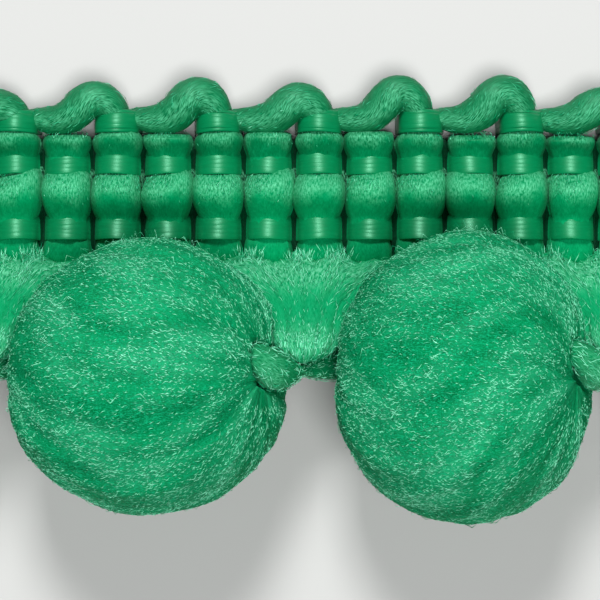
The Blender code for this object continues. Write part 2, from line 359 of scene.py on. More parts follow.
def rib_rings(column):
    """One rib's rings: a boxy round back and crest, narrower where the thread draws it in."""
    rng = np.random.default_rng(RIB_SEED + column)
    rib = between(rib_form(column), COLUMN_ALONG)
    drop = (column % 2) * rng.uniform(*SHORT_DROP)
    rib[:, 0] -= drop * np.clip((rib[:, 0] - SHORT_DROP_START) / 0.5, 0, 1)
    climb = rib[:, :1]
    turn = ring_turns(COLUMN_AROUND) + math.pi / COLUMN_AROUND
    wave = rng.uniform(0, math.tau, 3)
    lean = RIB_LEAN * np.sin(climb * 1.7 + wave[0])
    half = rib[:, 1:2] * (1 + RIB_UNEVEN * np.sin(climb * 2.3 + wave[1]))
    height = rib[:, 2:] * (1 + RIB_UNEVEN * np.sin(climb * 1.9 + wave[2]))
    across = boxed(np.cos(turn), RIB_SIDE_POWER)
    upward = boxed(np.sin(turn), RIB_CREST_POWER)
    middle = RIB_MIDDLE * height
    spread = np.where(climb < FOOT_END_Y, np.maximum(half, COLUMN_PITCH / 2 + FOOT_LAP), half)
    foot = np.where(upward > FOOT_TOP, half, spread)
    x = FIRST_COLUMN_X + column * COLUMN_PITCH + lean + foot * across
    z = middle + upward * np.where(upward > 0, height - middle, middle - LOWEST_Z)
    ridge = RIDGES_COARSE * np.sin(9 * turn + wave[0] + 0.5 * climb)
    ridge = ridge + RIDGES_FINE * np.sin(15 * turn + wave[1])
    x = x + ridge * across
    z = np.maximum(z + ridge * upward * (upward > 0), LOWEST_Z)
    slant = TOP_SLANT * np.clip((climb - TOP_SLANT_START) / 0.5, 0, 1) * (column % 2 == 0)
    bulge = np.exp(-((climb - BULGE_SLANT_Y) / BULGE_SLANT_REACH) ** 2)
    slant = slant + rng.uniform(*BULGE_SLANT) * bulge
    y = climb + slant * across * np.clip(SLANT_END_Y - climb, 0, 0.8)
    return np.stack([x, y, z], -1), turn, climb


def rib_brushed_highlight(column, turn, climb):
    """How much a rib is brushed up and painted lighter at each of its points, partly as painted highlight on
    the slopes that face the light.
    """
    border = BRUSHED_HIGHLIGHT_BORDER_Y + 0.20 * np.sin(3 * turn + 1.9 * column)
    border = border + 0.10 * np.sin(7 * turn - 2.3 * column)
    bulge = BULGE_BRUSHED_HIGHLIGHT * np.clip((climb - border) / BRUSHED_HIGHLIGHT_FADE, 0, 1) * (climb < BULGE_END_Y)
    top = TOP_BRUSHED_HIGHLIGHT[column % 2] * np.clip((climb - border - TOP_ABOVE_BULGE) / TOP_FADE, 0, 1)
    return (bulge + top).ravel()


# The furrow yarn and the crown yarn are the rib's yarn painted darker as shade.
rib_yarns = [
    yarn_material(
        name, tones, COLUMN_FILAMENTS, COLUMN_CLUMPS,
        bump=0.55, roughness=roughness, crosswise=0.7, glint=glint,
    )
    for name, tones, roughness, glint in (
        ("column_yarn", COLUMN_TONES, 0.50, 0.42),
        ("painted_shade_furrow_yarn", PAINTED_SHADE_FURROW_TONES, 0.60, 0.1),
        ("painted_shade_crown_yarn", PAINTED_SHADE_CROWN_TONES, 0.50, 0.42),
    )
]
ribs, runs, brushed_and_highlight, tones = [], [], [], []
for column in range(COLUMN_COUNT):
    rings, turn, climb = rib_rings(column)
    # Faces low beside the rib get the painted furrow shade; faces above the crown line get the painted
    # darker top.
    in_shaded_furrow = np.sin(turn + math.pi / COLUMN_AROUND) < SHADED_FURROW_TOP
    ribs.append(rings)
    runs.append(ring_run(np.abs(turn - math.pi) / 2 + column * 5.0, climb[:, 0]))
    brushed_and_highlight.append(rib_brushed_highlight(column, turn, climb))
    out_of_furrow = np.where(climb[:-1] > SHADED_CROWN_START_Y, IN_SHADED_CROWN, IN_COLUMN)
    tones.append(np.where(in_shaded_furrow, IN_SHADED_FURROW, out_of_furrow).ravel())
columns = ringed_piece("heading_columns", ribs, rib_yarns, runs, brushed_and_highlight, tones)
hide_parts("heading")


# Binding threads: five fine smooth threads lie close together across every rib at each drawn-in
# row, and over each tall rib's top, where they tie the picot yarn down. Glossy filament thread,
# beaten up so tightly that a row reads as one smooth knuckle that dives into the furrow.

BINDING_WIDE = 0.195
BINDING_DEEP = 0.028
BINDING_AROUND = 8
BINDING_STEPS = 16
LOWER_ROW = (2.34, 2.50, 2.66, 2.82, 2.98)
UPPER_ROW = (4.92, 5.08, 5.24, 5.40, 5.55)
TYING_ROW = (6.56, 6.69, 6.82, 6.95, 7.08)
BINDING_OVER = 0.13
BINDING_REACH = 0.92
BINDING_CROWN = 1.00
BINDING_DIVE = 0.98
BINDING_FULLNESS = 2.0
BINDING_TILT = 0.33
BINDING_LOW = 0.08
BINDING_UNEVEN = 0.03
TYING_CREST = 1.72
TYING_FULLNESS = 1.9
TYING_ROUND = 0.45
THREAD_FILAMENTS = (3.0, 22.0, 1.0)
THREAD_CLUMPS = (1.0, 6.0, 1.0)
THREAD_TONES = ((0.0, 0.152, 0.050), (0.0, 0.172, 0.058), (0.001, 0.192, 0.068))
UP = (0.0, 0.0, 1.0)


def square_to(forward, upward):
    """At each place on a path: the direction to its side, and the one out of the piece."""
    side = unit(np.cross(forward, np.broadcast_to(upward, forward.shape)))
    return side, np.cross(side, forward)


def tube_rings(path, radius, around):
    """Rings of a round thread along a path of points; radius may differ from ring to ring."""
    side, over = square_to(unit(np.gradient(path, axis=0)), UP)
    turn = ring_turns(around)[None, :, None]
    spread = side[:, None, :] * np.cos(turn) + over[:, None, :] * np.sin(turn)
    return path[:, None, :] + spread * np.broadcast_to(radius, (len(path),))[:, None, None]


def over_rib(column, crest, y, fullness):
    """One thread over one rib: out of the furrow, over the crest and down again."""
    share = np.linspace(-1, 1, BINDING_STEPS, endpoint=False) + 1 / BINDING_STEPS
    round_share = np.minimum(np.abs(share) / BINDING_REACH, 1)
    drop = BINDING_CROWN * (1 - (1 - BINDING_DIVE * round_share**fullness) ** (1 / fullness))
    x = FIRST_COLUMN_X + column * COLUMN_PITCH + share * COLUMN_PITCH / 2
    wobble = 0.02 * np.sin(2.1 * x + 5 * y) - 0.04 * share**2
    height = np.where(np.abs(share) < BINDING_REACH, np.maximum(crest - drop, BINDING_LOW), BINDING_LOW)
    return np.stack([x, np.full_like(x, y) + wobble, height], -1)


def binding_path(row, y):
    """A thread across the whole band. The lower it lies in its row the higher it stands, because
    the courses lean on each other."""
    row_middle = row[len(row) // 2]
    lean = BINDING_TILT * (row_middle - y)
    over = []
    for column in range(COLUMN_COUNT):
        rib = rib_form(column)
        crest = np.interp(row_middle, rib[:, 0], rib[:, 2]) + BINDING_OVER
        crest = crest + BINDING_UNEVEN * math.sin(3.3 * column) + lean
        over.append(over_rib(column, crest, y, BINDING_FULLNESS))
    return np.concatenate(over)


def tying_path(column, y):
    """A short thread over the top of a tall rib."""
    row_middle = TYING_ROW[len(TYING_ROW) // 2]
    crest = TYING_CREST + BINDING_TILT * (row_middle - y) - TYING_ROUND * (y - row_middle) ** 2
    return over_rib(column, crest, y, TYING_FULLNESS)


binding_thread = yarn_material(
    "binding_thread", THREAD_TONES, THREAD_FILAMENTS, THREAD_CLUMPS,
    bump=0.15, roughness=0.40, crosswise=0.0, glint=0.66,
)
threads, runs = [], []
for path in (
    [binding_path(row, y) for row in (LOWER_ROW, UPPER_ROW) for y in row]
    + [tying_path(column, y) for column in range(0, COLUMN_COUNT, 2) for y in TYING_ROW]
):
    flatness = BINDING_DEEP / BINDING_WIDE
    rings = tube_rings(path, BINDING_WIDE, BINDING_AROUND)
    rings = path[:, None, :] + (rings - path[:, None, :]) * (flatness, 1, flatness)
    rings[..., 2] -= BINDING_TILT * (rings[..., 1] - path[:, None, 1])
    threads.append(rings)
    lap = np.linspace(0, 1, BINDING_AROUND, endpoint=False)
    runs.append(ring_run(lap + path[0, 1], path[:, 0])[:, ::-1])
binding = ringed_piece("heading_binding", threads, [binding_thread], runs)


# Picot loops: one soft yarn that leaves a tall rib low at its side, swells up in a long slope,
# turns over and drops steeply into the next tall rib, so a small eye stays open under it.

PICOT_SEED = 300
PICOT_STEPS = 44
PICOT_AROUND = 18
PICOT_LOOP = (
    # (x from the next tall rib, y, height of the middle, half thickness)
    (-4.10, 6.55, 0.66, 0.32),
    (-3.66, 6.86, 0.74, 0.36),
    (-3.15, 6.91, 0.84, 0.43),
    (-2.62, 6.88, 0.98, 0.54),
    (-2.10, 6.93, 1.08, 0.64),
    (-1.62, 7.14, 1.16, 0.71),
    (-1.20, 7.46, 1.20, 0.72),
    (-0.80, 7.63, 1.18, 0.69),
    (-0.36, 7.50, 1.12, 0.66),
    (-0.06, 7.16, 0.98, 0.60),
    (0.00, 6.80, 0.86, 0.50),
    (0.00, 6.45, 0.84, 0.46),
)
# How much higher or lower each loop stands than the pattern, first to last.
PICOT_RISE = (0.05, -0.10, -0.25, 0.08, 0.20, 0.0, 0.33, 0.30, -0.15, 0.10, 0.0, 0.08)
PICOT_LEG_TOP = 6.85
PICOT_LEG_FADE = 0.7
PICOT_TWIST = 0.9
PICOT_LOWEST = 0.03
# Painted highlight: each loop is painted lighter in a band along the side of the yarn that faces the key
# light.
PICOT_PAINTED_HIGHLIGHT = 0.62
PICOT_HIGHLIGHT_TURN = 1.40
PICOT_HIGHLIGHT_REACH = 0.52
PICOT_FILAMENTS = (34.0, 4.0, 1.0)
PICOT_CLUMPS = (6.0, 1.2, 1.0)
PICOT_TONES = ((0.0, 0.100, 0.032), (0.0, 0.140, 0.047), (0.002, 0.190, 0.070))


def picot_rings(number):
    """One loop of yarn with its few turns of twist, no two quite alike."""
    rng = np.random.default_rng(PICOT_SEED + number)
    loop = between(PICOT_LOOP, PICOT_STEPS)
    next_tall = FIRST_COLUMN_X + (number + 1) * 2 * COLUMN_PITCH
    path = loop[:, :3].copy()
    path[:, 0] += next_tall + rng.uniform(-0.05, 0.05)
    path[:, 1] += PICOT_RISE[number] * np.clip((path[:, 1] - PICOT_LEG_TOP) / PICOT_LEG_FADE, 0, 1)
    keep = path[:, 0] <= BAND_END_X
    path, half = path[keep], loop[keep, 3] * (1 + rng.uniform(-0.03, 0.05))
    rings = tube_rings(path, half, PICOT_AROUND)
    lengthwise = np.concatenate([[0], np.cumsum(np.linalg.norm(np.diff(path, axis=0), axis=1))])
    turn = ring_turns(PICOT_AROUND)
    twist = turn[None, :] + PICOT_TWIST * lengthwise[:, None] + rng.uniform(0, math.tau)
    ridge = 1 + 0.035 * np.sin(3 * twist) + 0.02 * np.sin(7 * twist)
    centre = path[:, None, :]
    rings = centre + (rings - centre) * ridge[:, :, None]
    rings[..., 2] = np.maximum(rings[..., 2], PICOT_LOWEST)
    run = ring_run(np.abs(turn - math.pi) / 2, lengthwise)
    run[:, 0] = run[:, 0] + 0.35 * run[:, 1] + number * 7.0
    return rings, run, path, half


picot_yarn = yarn_material(
    "picot_yarn", PICOT_TONES, PICOT_FILAMENTS, PICOT_CLUMPS,
    bump=0.55, roughness=0.46, crosswise=0.6, glint=0.5,
)
loops, runs, brushed_and_highlight, loop_lines = [], [], [], []
# The band of painted highlight along the lit side of each loop.
lit_side_of_loop = np.exp(-((ring_turns(PICOT_AROUND) - PICOT_HIGHLIGHT_TURN) / PICOT_HIGHLIGHT_REACH) ** 2)
for number in range(COLUMN_COUNT // 2):
    rings, run, path, half = picot_rings(number)
    loops.append(rings)
    runs.append(run)
    brushed_and_highlight.append(np.tile(0.02 + PICOT_PAINTED_HIGHLIGHT * lit_side_of_loop, len(path)))
    loop_lines.append((path, half))
picots = ringed_piece("picot_loops", loops, [picot_yarn], runs, brushed_and_highlight)


# Nap on the heading: fine loose fibres that stand off the swollen parts of the ribs and loops.
# They are single filaments about two hundredths of a millimetre thick, still held at both ends.

FIBRE_SIDES = 3
# The first three tones are the dye; the fourth, near white green, is a painted glint for filaments that
# catch the light.
FIBRE_DYE_AND_GLINT_TONES = ((0.001, 0.240, 0.086), (0.004, 0.350, 0.145), (0.070, 0.560, 0.300), (0.310, 1.000, 0.665))
NAP_PER_BULGE = 110
NAP_PER_LOOP = 120
NAP_RADIUS = 0.0095
NAP_RINGS = 3
NAP_BULGE = (3.40, 4.8)
NAP_TOP_START = 5.75
NAP_TOP_END = (6.75, 6.50)
NAP_TONE_SHARES = (0.06, 0.50, 0.42, 0.02)
RIB_NAP_SEED = 41
LOOP_NAP_SEED = 42
NAP_TONE_SEED = 43


def fibre_materials(name, roughness):
    """Glossy single filaments in three tones of the dye and one pale tone painted as glint, with a grain
    that breaks up their shine.
    """
    made_tones = []
    for number, colour in enumerate(FIBRE_DYE_AND_GLINT_TONES):
        material = bpy.data.materials.new(f"{name}_{number + 1}")
        material.use_nodes = True
        tree = material.node_tree
        place = tree.nodes.new("ShaderNodeTexCoord").outputs["Object"]
        grain = fed(tree, tree.nodes.new("ShaderNodeTexNoise"), {"Vector": place, "Scale": 3000.0})
        fed(tree, tree.nodes["Principled BSDF"], {
            "Base Color": (*colour, 1),
            "Roughness": ranged(tree, grain.outputs["Fac"], roughness + 0.12, roughness - 0.12),
            "Specular IOR Level": 0.6,
            "Specular Tint": GLINT_TINT,
        })
        made_tones.append(material)
    return made_tones


def tapered(stops, radius):
    """A filament's thickness: greatest in its middle and least where it goes back into the yarn."""
    share = np.linspace(-1, 1, stops)
    return radius * (1 - 0.65 * share**4)


def fibre_piece(name, paths, radius, upward, tone_shares, seed, materials):
    """Many three-sided filaments with pointed ends as one piece, each filament in one of the
    tones. They follow paths (n, stops, 3), and have one upward direction or n of them."""
    count, stops = paths.shape[:2]
    side, over = square_to(unit(np.gradient(paths, axis=1)), upward)
    turn = (np.arange(FIBRE_SIDES) * math.tau / FIBRE_SIDES - math.pi / 2)[:, None]
    spread = side[:, :, None, :] * np.cos(turn) + over[:, :, None, :] * np.sin(turn)
    rings = paths[:, :, None, :] + spread * tapered(stops, radius)[:, None, None]
    rings = rings[:, 1:-1].reshape(count, -1, 3)
    points = np.concatenate([paths[:, :1], rings, paths[:, -1:]], axis=1)
    side_one = np.arange(FIBRE_SIDES)
    side_two = (side_one + 1) % FIBRE_SIDES
    last_ring = 1 + (stops - 3) * FIBRE_SIDES
    last_point = np.full(FIBRE_SIDES, last_ring + FIBRE_SIDES)
    tips = np.concatenate([
        np.stack([np.zeros(FIBRE_SIDES, int), 1 + side_two, 1 + side_one], -1),
        np.stack([last_point, last_ring + side_one, last_ring + side_two], -1),
    ])
    quads = ring_faces(stops - 2, FIBRE_SIDES, 1)[0]
    first = (np.arange(count) * points.shape[1])[:, None, None]
    faces = [(quads + first).reshape(-1, 4), (tips + first).reshape(-1, 3)]
    tone = np.random.default_rng(seed).choice(len(tone_shares), count, p=tone_shares)
    tones = np.concatenate([np.repeat(tone, len(quads)), np.repeat(tone, len(tips))])
    return made_piece(name, points.reshape(-1, 3), faces, materials, tones)


def read_at(values, low, step):
    """What is told for each stop of a path, read a step on from the stop low."""
    return values[low] * (1 - step) + values[low + 1] * step


def stop_at(path, along):
    """For places along a path of points: the stop before each, the step on from it, and the
    point itself."""
    low = np.clip(along.astype(int), 0, len(path) - 2)
    step = along - low
    return low, step, read_at(path, low, step[..., None])


def rib_nap(column, low, high, rng):
    """Filaments along one swell of a rib, most of them on its upper slope."""
    rib = rib_form(column)
    count = int(NAP_PER_BULGE * (high - low) / 1.5)
    start = low + (high - low) * rng.beta(2.6, 1.25, count)
    length = rng.uniform(0.10, 0.32, count)[:, None]
    side = rng.uniform(-0.95, 0.95, count)[:, None]
    slant = rng.normal(0, 0.35, count)[:, None]
    share = np.linspace(-0.5, 0.5, NAP_RINGS)
    y = np.clip(start[:, None] + share * length, low - 0.15, high + 0.10)
    half = np.interp(y, rib[:, 0], rib[:, 1])
    height = np.interp(y, rib[:, 0], rib[:, 2])
    curl = 0.012 * np.sin(share * 6.0 + rng.uniform(0, math.tau, (count, 1)))
    across = np.clip(side + slant * share * length + curl, -0.98, 0.98)
    stand = 0.022 * (1 - 4 * share**2) * rng.uniform(0.3, 1.6, (count, 1)) + 0.006
    x = FIRST_COLUMN_X + column * COLUMN_PITCH + half * across
    crown = (1 - np.abs(across) ** 2.6) ** 0.5
    z = RIB_MIDDLE * height + (1 - RIB_MIDDLE) * height * crown + stand
    return np.stack([x, y, z], -1)


def picot_nap(path, half, rng):
    """Filaments that follow a loop's yarn with a slight twist."""
    steps = len(path)
    count = int(NAP_PER_LOOP * steps / PICOT_STEPS)
    share = np.linspace(0, 1, NAP_RINGS)
    start = rng.uniform(2, steps - 9, count)[:, None]
    low, _, middle = stop_at(path, start + share * rng.uniform(1.2, 3.4, (count, 1)))
    side, over = square_to(unit(path[low + 1] - path[low]), UP)
    turn = rng.uniform(-0.35, math.pi + 0.35, (count, 1)) + rng.normal(0.25, 0.25, (count, 1)) * share
    stand = half[low] + 0.012 + 0.02 * np.sin(math.pi * share) * rng.uniform(0.3, 1.6, (count, 1))
    outward = side * np.cos(turn)[..., None] + over * np.sin(turn)[..., None]
    return middle + outward * stand[..., None]


rib_rng = np.random.default_rng(RIB_NAP_SEED)
loop_rng = np.random.default_rng(LOOP_NAP_SEED)
nap_paths = [
    rib_nap(column, low, high, rib_rng)
    for column in range(COLUMN_COUNT)
    for low, high in (NAP_BULGE, (NAP_TOP_START, NAP_TOP_END[column % 2]))
]
nap_paths += [picot_nap(path, half, loop_rng) for path, half in loop_lines]
nap = fibre_piece(
    "heading_nap", np.concatenate(nap_paths), NAP_RADIUS, UP,
    NAP_TONE_SHARES, NAP_TONE_SEED, fibre_materials("nap_fibre", 0.38),
)


# Skirts: below the band the yarns of six ribs run on, brushed loose, and are gathered to a neck.
# They rise from behind the pompoms into a soft funnel whose lower end is drawn in to a point.

NECK_SPACING = 12.0
NECK_COUNT = 5
SKIRT_YARNS = 6
SKIRT_STEPS = 30
SKIRT_AROUND = 14
SKIRT_FORM = (
    # (y, left half width, right half width, height of the face, thickness)
    (1.95, 5.90, 5.90, 0.28, 0.22),
    (1.58, 5.70, 5.70, 0.40, 0.34),
    (1.22, 5.30, 5.20, 0.99, 0.66),
    (0.75, 4.55, 4.40, 1.98, 1.00),
    (0.25, 3.50, 3.40, 2.95, 1.05),
    (-0.30, 2.50, 2.50, 3.70, 1.00),
    (-0.85, 1.85, 1.85, 4.55, 0.95),
    (-1.35, 1.55, 1.55, 5.35, 0.90),
    (-1.78, 1.60, 1.45, 5.95, 0.85),
    (-2.06, 1.36, 1.22, 6.22, 0.78),
    (-2.28, 0.90, 0.84, 6.15, 0.66),
    (-2.48, 0.22, 0.22, 5.80, 0.42),
)
SKIRT_TOP_Y = 1.95
SKIRT_LENGTH = 4.5
SKIRT_FALL = 0.16
SKIRT_SAG = 0.10
YARN_OVERLAP = 1.6
YARN_MARGIN = 0.05
SKIRT_RUN = 6
# The two fuzzy bands of each skirt are painted lighter, partly brushed-up fuzz and partly painted highlight
# where the skirt turns to the light.
SKIRT_BRUSHED_HIGHLIGHT = 1.25
# Where along a skirt its fibre stands up: (share of the way down, spread, share of the fibres).
SKIRT_TUFTS = ((0.27, 0.090, 0.50), (0.79, 0.070, 0.34))
# The small tufts over the ends of the ribs: (x from the neck, how far up they reach).
STANDING_TUFTS = ((-2.14, 1.02), (-0.05, 0.96), (1.32, 1.04))
TUFT_FIBRES = 250
TUFT_HEIGHT = 1.46
TUFT_WIDE = 0.42
RAGGED_Y = 1.30
RAGGED_REACH = 0.55
RAGGED_RISE = 0.34
SKIRT_NAP_PER_YARN = 460
SKIRT_NAP_RINGS = 4
SKIRT_NAP_RADIUS = 0.0078
SKIRT_EDGE_STAND = 0.40
SKIRT_FILAMENTS = (46.0, 6.0, 1.0)
SKIRT_TONES = ((0.0, 0.235, 0.078), (0.0, 0.295, 0.106), (0.004, 0.355, 0.140))
SKIRT_TONE_SHARES = (0.08, 0.26, 0.36, 0.30)
SKIRT_SEED = 500
SKIRT_TONE_SEED = 520
SKIRT_UP = (0.0, 0.3, 1.0)
LEFTWARD = (-1.0, 0.0, 0.0)


def neck_x(neck):
    """Where along the trim a neck is pinched."""
    return (neck - NECK_COUNT // 2) * NECK_SPACING


def skirt_line(share):
    """The middle line of one yarn of a skirt, with its half width and half thickness."""
    form = between(SKIRT_FORM, SKIRT_STEPS)
    reach = np.where(share < 0, form[:, 1], form[:, 2])
    down = np.clip((SKIRT_TOP_Y - form[:, 0]) / SKIRT_LENGTH, 0, 1)
    y = form[:, 0] + SKIRT_SAG * abs(share) * down**2
    fall = SKIRT_FALL * share**2 * form[:, 3] * np.clip(down * 2.2, 0, 1)
    z = np.maximum(form[:, 3] - fall - form[:, 4] / 2, form[:, 4] / 2 + LOWEST_Z)
    half = reach / SKIRT_YARNS * YARN_OVERLAP + YARN_MARGIN
    return np.stack([share * reach, y, z], -1), half, form[:, 4] / 2


def ragged(points, neck):
    """Pushes the top edge of a skirt up where its tufts stand, so that the edge is uneven."""
    x = points[..., 0] - neck_x(neck)
    push = sum(np.exp(-((x - middle_x) / TUFT_WIDE) ** 2) for middle_x, _ in STANDING_TUFTS)
    push = push + 0.35 * np.sin(4.1 * x + neck)
    near_edge = np.exp(-((points[..., 1] - RAGGED_Y) / RAGGED_REACH) ** 2)
    points[..., 1] += RAGGED_RISE * near_edge * (push - 0.30)
    return points


def neck_shares(neck):
    """Which of the six yarns a skirt has: the half skirts at the cut ends have three."""
    shares = (np.arange(SKIRT_YARNS) + 0.5) / SKIRT_YARNS * 2 - 1
    if neck == 0:
        return shares[SKIRT_YARNS // 2:]
    if neck == NECK_COUNT - 1:
        return shares[: SKIRT_YARNS // 2]
    return shares


def flat_yarn_rings(path, half, thick, rng):
    """A brushed yarn that is wider than it is thick, with uneven ridges along it."""
    turn = ring_turns(SKIRT_AROUND)
    wave = rng.uniform(0, math.tau, 3)
    lengthwise = np.linspace(0, 1, len(path))[:, None]
    ridge = 1 + 0.04 * np.sin(3 * turn + wave[0] + 2 * lengthwise)
    ridge = ridge + 0.03 * np.sin(5 * turn + wave[1] - 3 * lengthwise)
    side = np.broadcast_to(LEFTWARD, path.shape)
    over = unit(np.cross(side, np.gradient(path, axis=0)))
    across = (half[:, None] * np.cos(turn) * ridge)[..., None]
    upward = (thick[:, None] * np.sin(turn) * ridge)[..., None]
    rings = path[:, None, :] + side[:, None, :] * across + over[:, None, :] * upward
    rings[..., 0] = np.clip(rings[..., 0], BAND_START_X, BAND_END_X)
    rings[..., 2] = np.maximum(rings[..., 2], LOWEST_Z / 2)
    return rings


def skirt_nap(neck, share, rng):
    """Loose fibres on one yarn of a skirt, combed down to the neck and crossing a little."""
    count = SKIRT_NAP_PER_YARN
    path, half, thick = skirt_line(share)
    part = np.linspace(0, 1, SKIRT_NAP_RINGS)
    place = rng.uniform(0.10, 0.92, count)
    pick = rng.uniform(0, 1, count)
    for centre, spread, part_here in SKIRT_TUFTS:
        place = np.where(pick < part_here, rng.normal(centre, spread, count), place)
        pick = np.where(pick < part_here, 2.0, pick - part_here)
    start = np.clip(place, 0.08, 0.93) * (SKIRT_STEPS - 1)
    along = start[:, None] + part * rng.uniform(0.5, 1.7, (count, 1))
    low, step, middle = stop_at(path, np.minimum(along, SKIRT_STEPS - 1.001))
    reach, depth = read_at(half, low, step), read_at(thick, low, step)
    across = rng.uniform(-0.95, 0.95, (count, 1)) + rng.normal(0, 0.16, (count, 1)) * part
    curl = 0.03 * np.sin(part * rng.uniform(2, 6, (count, 1)) + rng.uniform(0, math.tau, (count, 1)))
    across = np.clip(across + curl, -1.05, 1.05)
    crown = np.sqrt(np.clip(1 - np.clip(across, -0.98, 0.98) ** 2, 0, 1))
    stand = rng.uniform(0.00, 0.05, (count, 1))
    stand = stand + 0.025 * np.sin(math.pi * part) * rng.uniform(0.2, 1.6, (count, 1))
    outer = np.clip(-across * np.sign(share), 0, 1) * (abs(share) > 0.7)
    stand = stand + SKIRT_EDGE_STAND * outer * rng.uniform(0, 1, (count, 1)) ** 2
    side = np.array(LEFTWARD)
    over = unit(np.cross(side, path[low + 1] - path[low]))
    paths = middle + side * (across * reach)[..., None] + over * (crown * depth + stand)[..., None]
    paths[..., 0] += neck_x(neck)
    return ragged(paths, neck)


def standing_tuft(neck, middle_x, reach, rng):
    """Where a skirt leaves the band, fibre stands up in a small tuft over the end of a rib."""
    one_each = (TUFT_FIBRES, 1)
    share = np.linspace(0, 1, SKIRT_NAP_RINGS)
    root_x = rng.normal(0, 0.27, one_each)
    root_y = rng.uniform(0.65, 1.60, one_each) * reach
    length = rng.uniform(0.18, 0.46, one_each)
    fan = 0.5 * root_x + rng.normal(0, 0.20, one_each)
    x = middle_x + root_x + fan * share * length + 0.02 * np.sin(4 * share + 9 * root_x)
    y = root_y + share * length
    z = TUFT_HEIGHT + 0.55 * np.clip(1.3 - root_y, 0, 1) + 0.05 * np.sin(math.pi * share)
    z = z + rng.uniform(-0.05, 0.07, one_each)
    return np.stack([x + neck_x(neck), y, z], -1)


skirt_yarn = yarn_material(
    "skirt_yarn", SKIRT_TONES, SKIRT_FILAMENTS, PICOT_CLUMPS,
    bump=0.6, roughness=0.60, crosswise=0.5, glint=0.1,
)
skirt_tones = fibre_materials("skirt_fibre", 0.36)
for neck in range(NECK_COUNT):
    rng = np.random.default_rng(SKIRT_SEED + neck)
    yarns, runs, brushed_and_highlight = [], [], []
    for share in neck_shares(neck):
        path, half, thick = skirt_line(share)
        path[:, 0] += neck_x(neck)
        yarns.append(ragged(flat_yarn_rings(path, half, thick, rng), neck))
        lap = np.abs(np.linspace(0, 1, SKIRT_AROUND, endpoint=False) - 0.5) * 2
        climb = np.linspace(0, SKIRT_RUN, SKIRT_STEPS)
        down = climb / SKIRT_RUN
        # Two bands painted lighter, brushed-up fuzz together with painted highlight; the outer yarns get
        # less of it.
        tuft_and_highlight = np.exp(-((down - 0.31) / 0.11) ** 2) + 0.9 * np.exp(-((down - 0.80) / 0.10) ** 2)
        brushed_and_highlight.append(np.repeat(0.04 + SKIRT_BRUSHED_HIGHLIGHT * tuft_and_highlight * (1 - 1.10 * share**2), SKIRT_AROUND))
        runs.append(ring_run(lap + 3 * share + neck, climb))
    skirt = ringed_piece(f"skirt_{neck + 1}_yarns", yarns, [skirt_yarn], runs, brushed_and_highlight)
    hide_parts(f"skirt_{neck + 1}")
    fuzz_paths = [skirt_nap(neck, share, rng) for share in neck_shares(neck)]
    fuzz_paths += [
        standing_tuft(neck, middle_x, reach, rng)
        for middle_x, reach in STANDING_TUFTS
        if abs(neck_x(neck) + middle_x) <= BAND_END_X - 0.3
    ]
    fuzz = fibre_piece(
        f"skirt_{neck + 1}_fibres", np.concatenate(fuzz_paths), SKIRT_NAP_RADIUS, SKIRT_UP,
        SKIRT_TONE_SHARES, SKIRT_TONE_SEED + neck, skirt_tones,
    )


# Necks: the fibre of the chain of pompoms leaves each ball through a pit on its right side,
# bulges once, is pinched tight under the point of the skirt, and widens behind the next ball.

NECK_STEPS = 40
NECK_AROUND = 22
NECK_FORM = (
    # (x from the pinch, y, height, half height, half depth)
    (-2.52, -1.96, 6.80, 0.20, 0.20),
    (-2.14, -2.14, 6.98, 0.44, 0.40),
    (-1.75, -2.43, 6.98, 0.66, 0.55),
    (-1.32, -2.72, 6.76, 0.79, 0.62),
    (-0.88, -2.88, 6.34, 0.71, 0.58),
    (-0.46, -2.92, 5.82, 0.47, 0.45),
    (-0.14, -2.88, 5.38, 0.24, 0.30),
    (0.08, -2.86, 5.10, 0.24, 0.28),
    (0.34, -2.80, 4.78, 0.38, 0.36),
    (0.68, -2.73, 4.35, 0.52, 0.44),
    (1.12, -2.64, 3.85, 0.66, 0.50),
    (1.55, -2.66, 3.35, 0.60, 0.46),
)
# At a cut end of the trim the pinch is drawn out a little, to the end of the skirt.
CUT_AT = 0.02
CUT_END_X = 0.45
NECK_BULGE_X = -1.45
NECK_BULGE_REACH = 0.42
NECK_NAP = 780
NECK_FILAMENTS = (40.0, 9.0, 1.0)
NECK_CLUMPS = (6.0, 1.5, 1.0)
NECK_TONES = ((0.0, 0.135, 0.042), (0.0, 0.175, 0.058), (0.002, 0.225, 0.080))
NECK_TONE_SHARES = (0.06, 0.24, 0.34, 0.36)
NECK_SEED = 600
NECK_TONE_SEED = 620
NECK_UP = (0.0, 0.2, 1.0)
PICOTWARD = np.array([0.0, 1.0, 0.0])


def neck_rings(neck):
    """One neck's rings; at a cut end of the trim only the half that joins a pompom is left."""
    form = between(NECK_FORM, NECK_STEPS)
    if neck == 0:
        form = form[form[:, 0] >= -CUT_AT]
        form[0, 0] = -CUT_END_X
    if neck == NECK_COUNT - 1:
        form = form[form[:, 0] <= CUT_AT]
        form[-1, 0] = CUT_END_X
    path = form[:, :3] + (neck_x(neck), 0, 0)
    side, _ = square_to(unit(np.gradient(path, axis=0)), PICOTWARD)
    turn = ring_turns(NECK_AROUND)
    folds = 1 + 0.05 * np.sin(5 * turn + neck) + 0.04 * np.sin(8 * turn + 2 * neck)
    rings = (
        path[:, None, :]
        + PICOTWARD * (form[:, 3, None] * np.cos(turn) * folds)[..., None]
        + side[:, None, :] * (form[:, 4, None] * np.sin(turn) * folds)[..., None]
    )
    return rings, path, form


def neck_brushed_highlight(form):
    """The bulge of a neck is brushed up and painted lighter, partly as painted highlight, most of all low on
    its left.
    """
    bulge = np.exp(-((form[:, 0, None] - NECK_BULGE_X) / NECK_BULGE_REACH) ** 2)
    return (0.06 + bulge * (0.42 - 0.32 * np.cos(ring_turns(NECK_AROUND)))).ravel()


